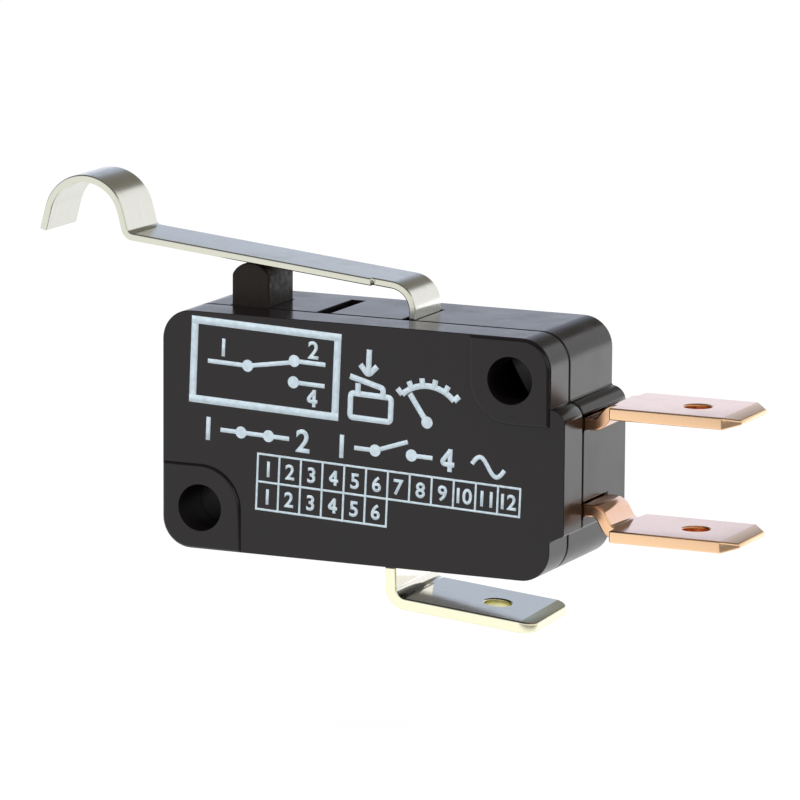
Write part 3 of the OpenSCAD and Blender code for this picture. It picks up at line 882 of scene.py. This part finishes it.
def figure_four(height, centre, baseline):
    """The two strokes of a plain 4 in millimetres, drawn because the font's own 4 has folded faces."""
    stem = centre + 0.16 * height
    bar = baseline + 0.32 * height
    return ([(stem, baseline), (stem, baseline + height)],
            [(stem, baseline + 0.92 * height), (centre - 0.3 * height, bar), (centre + 0.37 * height, bar)])


def arc(centre, radius, start, end, steps):
    """Points on an arc, with angles in degrees."""
    turns = [math.radians(start + (end - start) * k / steps) for k in range(steps + 1)]
    return [(centre[0] + radius * math.cos(a), centre[1] + radius * math.sin(a)) for a in turns]


def rectangle(x0, y0, x1, y1):
    """A closed line round a rectangle."""
    return [(x0, y0), (x1, y0), (x1, y1), (x0, y1), (x0, y0)]


def square_frame(x0, y0, x1, y1, stroke):
    """The bars of a frame with square corners round an opening: the side bars end at the level ones."""
    half = stroke / 2
    return [
        [(x0 - stroke, y0 - half), (x1 + stroke, y0 - half)],
        [(x0 - stroke, y1 + half), (x1 + stroke, y1 + half)],
        [(x0 - half, y0), (x0 - half, y1)],
        [(x1 + half, y0), (x1 + half, y1)]]


# The layout of the print on the front face, in millimetres from the lower hole's axis
OPENING = (-0.275, 7.315, 9.575, 12.085)
DIAGRAM_LINES = [
    [(0.5, 9.7), (3.4, 9.7), (6.7, 10.32)], [(6.75, 10.42), (9.0, 10.42)], [(6.75, 9.0), (9.0, 9.0)],
    [(1.6, 5.2), (6.6, 5.2)], [(11.3, 5.2), (12.8, 5.2), (15.1, 6.05)], [(15.4, 5.2), (16.9, 5.2)]]
DIAGRAM_DOTS = [(3.4, 9.7), (6.75, 10.42), (6.75, 9.0), (3.1, 5.2), (5.1, 5.2), (12.8, 5.2), (15.4, 5.2)]
FRAME_NUMBERS = (("1", 1.6, 10.15), ("2", 8.1, 10.73), ("4", 8.1, 7.52))
ROW_NUMBERS = (("1", 0.7, 4.45), ("2", 7.6, 4.45), ("1", 10.4, 4.45), ("4", 17.9, 4.45))
WAVE = [(19.7 + 0.1 * k, 5.1 + 0.6 * math.sin(math.pi * (k + 0.5) / 12)) for k in range(24)]
SIGN_LINES = [rectangle(10.9, 7.2, 13.8, 8.8), [(11.5, 10.75), (12.1, 10.1), (12.7, 10.75)]]
SIGN_CROSSINGS = [
    [(11.4, 8.8), (11.4, 9.5)], [(13.2, 8.8), (13.2, 9.35), (10.8, 9.9)], [(12.1, 11.8), (12.1, 10.1)]]
DIAL_CENTRE = (16.4, 7.3)
DIAL_RADIUS = 2.6
DIAL_TICK = 0.5
DIAL_POINTER = [(16.4, 7.5), (15.1, 9.25)]
DIAL_LINES = [arc(DIAL_CENTRE, DIAL_RADIUS, 45, 135, 18), DIAL_POINTER]
DIAL_TICKS = [
    [arc(DIAL_CENTRE, radius, turn, turn, 1)[0] for radius in (DIAL_RADIUS, DIAL_RADIUS + DIAL_TICK)]
    for turn in range(45, 136, 18)]
LONG_ROW = 12
SHORT_ROW = 6
CELLS = [4.4 + 1.565 * k for k in range(LONG_ROW + 1)]
TABLE_TOP, TABLE_MIDDLE, TABLE_FLOOR = 3.95, 2.1, 0.25
TABLE_RULES = ((TABLE_TOP, LONG_ROW), (TABLE_MIDDLE, LONG_ROW), (TABLE_FLOOR, SHORT_ROW))
TABLE_NUMBERS = ((2.5, LONG_ROW), (0.65, SHORT_ROW))

# How much thicker the ink is where strokes cross, so that no two faces share a plane
CROSSING = 1.15

# Stroke of a drawn 4, as a share of its height
FOUR_STROKE = 0.21


class SWITCH_OT_print(bpy.types.Operator):
    """Print plain contact diagrams and numbers on the front"""

    bl_idname = "switch.print_front"
    bl_label = "Front print"

    def execute(self, context):
        sizes = context.scene.switch_print
        ink = ink_finish("Pale ink", context.scene.switch_finish.ink)
        strokes = build_printed_strokes()
        dots = build_printed_dots()
        thick = sizes.ink_height
        crossing = CROSSING * thick
        half = sizes.rule / MM / 2

        def number(text, height, x, y):
            """The meshes of a printed number."""
            if text != "4":
                return [printed_number(text, height, x, y, thick)]
            return [printed_lines(strokes, [line], FOUR_STROKE * height, ink_height, ink)
                    for line, ink_height in zip(figure_four(height / MM, x, y), (thick, crossing))]

        parts = [printed_lines(strokes, lines, width, ink_height, ink) for lines, width, ink_height in (
            (square_frame(*OPENING, sizes.frame_stroke / MM), sizes.frame_stroke, thick),
            ([*DIAGRAM_LINES, WAVE], sizes.stroke, thick),
            ([*SIGN_LINES, *DIAL_LINES], sizes.bold, thick),
            ([*SIGN_CROSSINGS, *DIAL_TICKS], sizes.bold, crossing),
            ([[(CELLS[0] - half, y), (CELLS[last] + half, y)]
              for y, last in TABLE_RULES], sizes.rule, thick),
            ([[(x, (TABLE_MIDDLE if k > SHORT_ROW else TABLE_FLOOR) - half), (x, TABLE_TOP + half)]
              for k, x in enumerate(CELLS)], sizes.rule, crossing))]
        parts.append(grown(dots, [*DIAGRAM_DOTS, DIAL_POINTER[0]], [], dot_radius=sizes.dot,
                           ink_height=crossing, ink=ink))
        for text, x, y in FRAME_NUMBERS:
            parts += number(text, sizes.number, x, y)
        for text, x, y in ROW_NUMBERS:
            parts += number(text, sizes.row_number, x, y)
        for baseline, count in TABLE_NUMBERS:
            for k in range(count):
                parts += number(str(k + 1), sizes.small_number, (CELLS[k] + CELLS[k + 1]) / 2, baseline)
        upright = Matrix.Rotation(math.radians(90), 4, "X")
        on_face = Matrix.Translation((0, FRONT_Y + sizes.ink_sunk - thick / 2, 0))
        x0, y0, x1, y1 = OPENING
        pivot = Matrix.Translation(((x0 + x1) / 2 * MM, (y0 + y1) / 2 * MM, 0))
        crooked = pivot @ Matrix.Rotation(-sizes.skew, 4, "Z") @ pivot.inverted()
        whole = bmesh.new()
        for part in parts:
            part.transform(on_face @ upright @ crooked)
            whole.from_mesh(part)
            bpy.data.meshes.remove(part)
        mesh = bpy.data.meshes.new("front_print")
        whole.to_mesh(mesh)
        whole.free()
        finish_piece(flat_object("front_print", mesh), [ink], "housing")
        return {"FINISHED"}


# Stage

class SWITCH_OT_stage(bpy.types.Operator):
    """Set the camera, the light and the floor"""

    bl_idname = "switch.set_stage"
    bl_label = "Stage"

    def execute(self, context):
        stage = context.scene.switch_stage
        set_camera(context.scene, stage)
        set_surroundings(context.scene, stage)
        set_floor(stage)
        set_lamps()
        context.scene.view_settings.view_transform = "Standard"
        return {"FINISHED"}


def set_camera(scene, stage):
    """Sets the camera at the photograph's angle."""
    a, e, r = stage.azimuth, stage.elevation, stage.roll
    back = Vector((math.sin(a) * math.cos(e), -math.cos(a) * math.cos(e), math.sin(e)))
    level = Vector((math.cos(a), math.sin(a), 0))
    upright = back.cross(level)
    right = math.cos(r) * level + math.sin(r) * upright
    up = math.cos(r) * upright - math.sin(r) * level
    lens = bpy.data.cameras.new("Camera")
    lens.lens = stage.lens
    lens.clip_start = 0.01
    lens.clip_end = 50
    camera = flat_object("Camera", lens)
    spot = Vector(stage.aim) + right * stage.offset[0] + up * stage.offset[1] + back * stage.distance
    camera.matrix_world = Matrix.Translation(spot) @ Matrix((right, up, back)).transposed().to_4x4()
    scene.camera = camera


def set_surroundings(scene, stage):
    """White round and below the object, and darker higher up, as in a studio with a low white backdrop."""
    backdrop_blur = math.radians(1)
    backdrop_heading = -0.375
    ceiling_blur = math.radians(3)
    ceiling_heading = -0.36
    world = bpy.data.worlds.new("Studio")
    world.use_nodes = True
    tree = world.node_tree
    heading = split_place(tree, new_node(tree, "ShaderNodeTexCoord").outputs["Generated"])

    def leaning(start, slope):
        """How far an edge leans towards the terminals from the heading where it has its stated height."""
        return math_node(tree, "MULTIPLY", math_node(tree, "SUBTRACT", heading["X"], start), slope)

    def past(height, edge, blur):
        """Goes from 0 to 1 where a height passes an edge."""
        return spread(tree, height, 0.0, 1.0, math.sin(edge), math.sin(edge + blur))

    lean = leaning(backdrop_heading, stage.backdrop_lean)
    over = past(math_node(tree, "SUBTRACT", heading["Z"], lean), stage.backdrop, backdrop_blur)
    drop = leaning(ceiling_heading, stage.ceiling_lean)
    dark = past(math_node(tree, "ADD", heading["Z"], drop), stage.ceiling_edge, ceiling_blur)
    upper = mix_colour(tree, dark, opaque(stage.dusk), opaque(stage.ceiling))
    warm = spread(tree, heading["X"], 0.0, 1.0, from_low=-0.3, from_high=0.2)
    lower = mix_colour(tree, warm, opaque(stage.cool), WHITE)
    room = mix_colour(tree, over, lower, upper)
    seen = new_node(tree, "ShaderNodeLightPath").outputs["Is Camera Ray"]
    feed(tree, tree.nodes["Background"].inputs["Color"], mix_colour(tree, seen, room, WHITE))
    scene.world = world


def set_floor(stage):
    """A white floor that shows white to the camera and bright to metal, and keeps a soft shadow."""
    camera_glow = 1.06
    glow_share = 0.9
    shade_turn = math.radians(25)
    low = CAD_BOX[0].z - stage.floor_drop
    half = stage.floor_size / 2
    mesh = bpy.data.meshes.new("floor")
    mesh.from_pydata([(x, y, low) for x, y in rectangle(-half, -half, half, half)[:4]], [], [(0, 1, 2, 3)])
    material, tree, shader = new_material(
        "Floor", Base_Color=(0.8, 0.8, 0.8, 1), Roughness=0.9, Specular_IOR_Level=0.0)
    path = new_node(tree, "ShaderNodeLightPath").outputs
    place = split_place(tree, object_place(tree))
    dimmed = 0.5 * stage.floor_behind
    behind = spread(tree, place["X"], dimmed, stage.floor_behind, from_low=0.02, from_high=0.08)
    level = spread(tree, place["Y"], stage.floor_front, behind, from_low=-0.02, from_high=0.05)
    aside = math_node(tree, "SUBTRACT", math_node(tree, "MULTIPLY", place["X"], math.cos(shade_turn)),
                      math_node(tree, "MULTIPLY", place["Y"], math.sin(shade_turn)))
    shade = spread(tree, aside, 1.0, 1 - stage.floor_shade, from_low=0.03, from_high=0.07)
    mirrored = math_node(tree, "MULTIPLY", level, shade)
    glow = new_node(tree, "ShaderNodeEmission")
    feed(tree, glow.inputs["Strength"], spread(tree, path["Is Camera Ray"], mirrored, camera_glow))
    clear = math_node(tree, "MAXIMUM", path["Is Glossy Ray"], path["Is Transmission Ray"])
    seen = math_node(tree, "MAXIMUM", path["Is Camera Ray"], clear)
    both = new_node(tree, "ShaderNodeMixShader")
    feed(tree, both.inputs[0], math_node(tree, "MULTIPLY", seen, glow_share))
    feed(tree, both.inputs[1], shader.outputs[0])
    feed(tree, both.inputs[2], glow.outputs[0])
    feed(tree, tree.nodes["Material Output"].inputs["Surface"], both.outputs[0])
    mesh.materials.append(material)
    flat_object("floor", mesh)


def set_lamps():
    """Large soft lamps: one overhead, and a weaker one low in front."""
    aim = Vector((0.01, 0, 0))
    for name, place, size, power in (
            ("Overhead", Vector((-0.1, -0.2, 0.65)), 0.6, 5.0),
            ("Front fill", Vector((-0.35, -0.8, 0.15)), 0.5, 2.0)):
        lamp = bpy.data.lights.new(name, "AREA")
        lamp.size = size
        lamp.energy = power
        thing = flat_object(name, lamp)
        thing.location = place
        thing.rotation_euler = (aim - place).to_track_quat("-Z", "Y").to_euler()
        thing.visible_camera = False
        thing.visible_glossy = False


OPERATORS = (SWITCH_OT_groups, SWITCH_OT_body, SWITCH_OT_plunger, SWITCH_OT_lever, SWITCH_OT_terminals,
             SWITCH_OT_inside, SWITCH_OT_print, SWITCH_OT_stage)
SETTINGS = {"switch_edges": SwitchEdges, "switch_print": SwitchPrint, "switch_finish": SwitchFinish,
            "switch_stage": SwitchStage}


class SWITCH_PT_dressing(bpy.types.Panel):
    """Lists the pieces of the switch and their settings"""

    bl_label = "Micro switch"
    bl_space_type = "VIEW_3D"
    bl_region_type = "UI"
    bl_category = "Switch"

    def draw(self, context):
        for operator in OPERATORS:
            self.layout.operator(operator.bl_idname)
        for name, kind in SETTINGS.items():
            box = self.layout.box()
            for label in kind.__annotations__:
                box.prop(getattr(context.scene, name), label)


CLASSES = (*SETTINGS.values(), *OPERATORS, SWITCH_PT_dressing)


def register():
    """Adds the settings, the operators and the panel."""
    for kind in CLASSES:
        bpy.utils.register_class(kind)
    for name, kind in SETTINGS.items():
        setattr(bpy.types.Scene, name, PointerProperty(type=kind))


def unregister():
    """Takes the settings, the operators and the panel away again."""
    for name in SETTINGS:
        delattr(bpy.types.Scene, name)
    for kind in reversed(CLASSES):
        bpy.utils.unregister_class(kind)


def main():
    """Dresses the switch and sets the stage."""
    register()
    bpy.ops.switch.build_groups()
    bpy.ops.switch.dress_body()
    bpy.ops.switch.dress_plunger()
    bpy.ops.switch.dress_lever()
    bpy.ops.switch.dress_terminals()
    bpy.ops.switch.dress_inside()
    bpy.ops.switch.print_front()
    bpy.ops.switch.set_stage()


if __name__ == "__main__":
    main()
